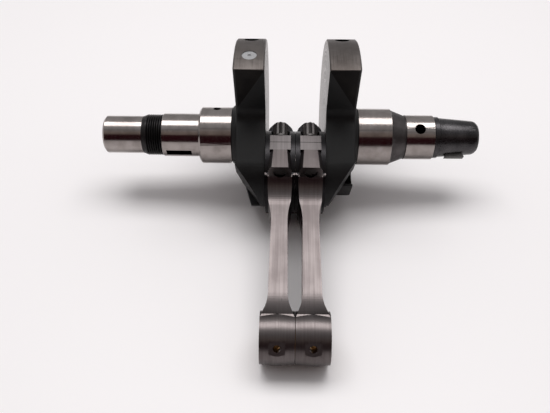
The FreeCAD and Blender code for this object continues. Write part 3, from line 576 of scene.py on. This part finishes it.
ROD_FINISHES = [ROD, LUG, CAP, BORE]
CAP_FINISHES = [CAP, LUG]
for side in ("left", "right"):
    body = side + "_rod"
    finished_piece("rod_" + side, "connecting_rod_" + side, body, ROD_FINISHES, rod_finish)
    finished_piece("cap_" + side, "big_end_cap_" + side, body, CAP_FINISHES, cap_finish)

PLAIN = {"rod_bolt": BOLT, "bearing_shell": SHELL, "small_end_bush": BRONZE, "crankpin_plug": CONE,
         "balance_slug": SLUG, "woodruff_key": KEY}
for name, node in frame["nodes"].items():
    for start, finish in PLAIN.items():
        if name.startswith(start):
            node.data.materials.clear()
            node.data.materials.append(finish)


# ------------------------------------------------------------ floor, light and camera

TABLE_HALF_WIDTH = 3.0
TABLE_GAP = 0.2 * MM
TABLE_COLOUR = (0.95, 0.93, 0.935, 1)


def floor():
    """A plain pale table top, just under the part."""
    work = bmesh.new()
    bmesh.ops.create_grid(work, x_segments=2, y_segments=2, size=TABLE_HALF_WIDTH)
    mesh = bpy.data.meshes.new("table_top")
    work.to_mesh(mesh)
    work.free()
    made = bpy.data.objects.new("table_top", mesh)
    made.location = (WEB_MIDDLE, 0, FLOOR - TABLE_GAP)
    bpy.context.scene.collection.objects.link(made)
    mesh.materials.append(material("white_table", 0.0, 0.45, TABLE_COLOUR)[0])


floor()


def soft_light(name, place_at, aim, width, height, power, colour):
    data = bpy.data.lights.new(name, "AREA")
    data.shape = "RECTANGLE"
    data.size, data.size_y = width, height
    data.energy, data.color = power, colour
    light = bpy.data.objects.new(name, data)
    light.location = place_at
    light.rotation_mode = "QUATERNION"
    light.rotation_quaternion = (Vector(aim) - Vector(place_at)).to_track_quat("-Z", "Y")
    bpy.context.scene.collection.objects.link(light)


soft_light("overhead_panel", (0.05, 0.32, 1.26), (0.05, 0.0, 0), 1.5, 0.62, 12, (1.0, 0.985, 0.985))


# the room's colours, by the turn in degrees from the front horizon over the top to the back one
ROOM_STRENGTH = 0.78
ROOM = (
    (0, (0.040, 0.009, 0.013, 1)),
    (35, (0.052, 0.012, 0.017, 1)),
    (39, (0.33, 0.27, 0.24, 1)),
    (54, (0.40, 0.35, 0.33, 1)),
    (60, (0.52, 0.50, 0.50, 1)),
    (63, (0.16, 0.15, 0.15, 1)),
    (67, (0.50, 0.50, 0.51, 1)),
    (90, (0.66, 0.66, 0.67, 1)),
    (95, (1.0, 1.0, 1.0, 1)),
    (115, (1.0, 1.0, 1.0, 1)),
    (120, (0.70, 0.70, 0.71, 1)),
    (147, (0.62, 0.62, 0.63, 1)),
    (180, (0.50, 0.49, 0.49, 1)),
)


def studio_world():
    """A pale room, brightest overhead, with a dark red band low in front."""
    world = bpy.data.worlds.new("studio")
    bpy.context.scene.world = world
    world.use_nodes = True
    tree = world.node_tree
    direction = add(tree, "ShaderNodeTexCoord").outputs["Generated"]
    parts = add(tree, "ShaderNodeSeparateXYZ", {0: direction}).outputs
    turn = maths(tree, "ARCTAN2", parts["Z"], maths(tree, "MULTIPLY", parts["Y"], -1.0))
    ramp = add(tree, "ShaderNodeValToRGB", {"Fac": maths(tree, "DIVIDE", turn, math.pi)})
    stops = ramp.color_ramp.elements
    while len(stops) < len(ROOM):
        stops.new(0.5)
    for stop, (degrees, colour) in zip(stops, ROOM):
        stop.position = degrees / 180
    for stop, (degrees, colour) in zip(stops, ROOM):
        stop.color = colour
    background = tree.nodes["Background"]
    tree.links.new(ramp.outputs["Color"], background.inputs["Color"])
    background.inputs["Strength"].default_value = ROOM_STRENGTH


studio_world()
bpy.context.scene.view_settings.view_transform = "Standard"

# the camera stands in front of the rods, above the table, and looks down on the webs
LENS = 38.99
VIEW_DOWN = math.radians(37.18)
YAW, PITCH, ROLL = -0.0163, -0.1179, 0.0106
STAND_OFF = Vector((-6.44, -326.96, 247.97)) * MM


def camera():
    """The view: down by VIEW_DOWN, then turned a little by YAW, PITCH and ROLL."""
    data = bpy.data.cameras.new("camera")
    data.sensor_width = 36.0
    data.lens = LENS
    data.clip_start, data.clip_end = 0.01, 20.0
    across = Vector((1, 0, 0))
    upward = Vector((0, math.sin(VIEW_DOWN), math.cos(VIEW_DOWN)))
    ahead = Vector((0, math.cos(VIEW_DOWN), -math.sin(VIEW_DOWN)))
    right = across * math.cos(YAW) - ahead * math.sin(YAW)
    top = (across * (-math.sin(PITCH) * math.sin(YAW)) + upward * math.cos(PITCH)
           - ahead * (math.sin(PITCH) * math.cos(YAW)))
    rolled_right = right * math.cos(ROLL) + top * math.sin(ROLL)
    rolled_top = top * math.cos(ROLL) - right * math.sin(ROLL)
    back = rolled_right.cross(rolled_top)
    made = bpy.data.objects.new("camera", data)
    turn = Matrix((rolled_right, rolled_top, back)).transposed()
    made.rotation_mode = "QUATERNION"
    made.rotation_quaternion = turn.to_quaternion()
    made.location = Vector((WEB_MIDDLE, 0, 0)) + STAND_OFF
    bpy.context.scene.collection.objects.link(made)
    bpy.context.scene.camera = made


camera()

bpy.context.view_layer.update()
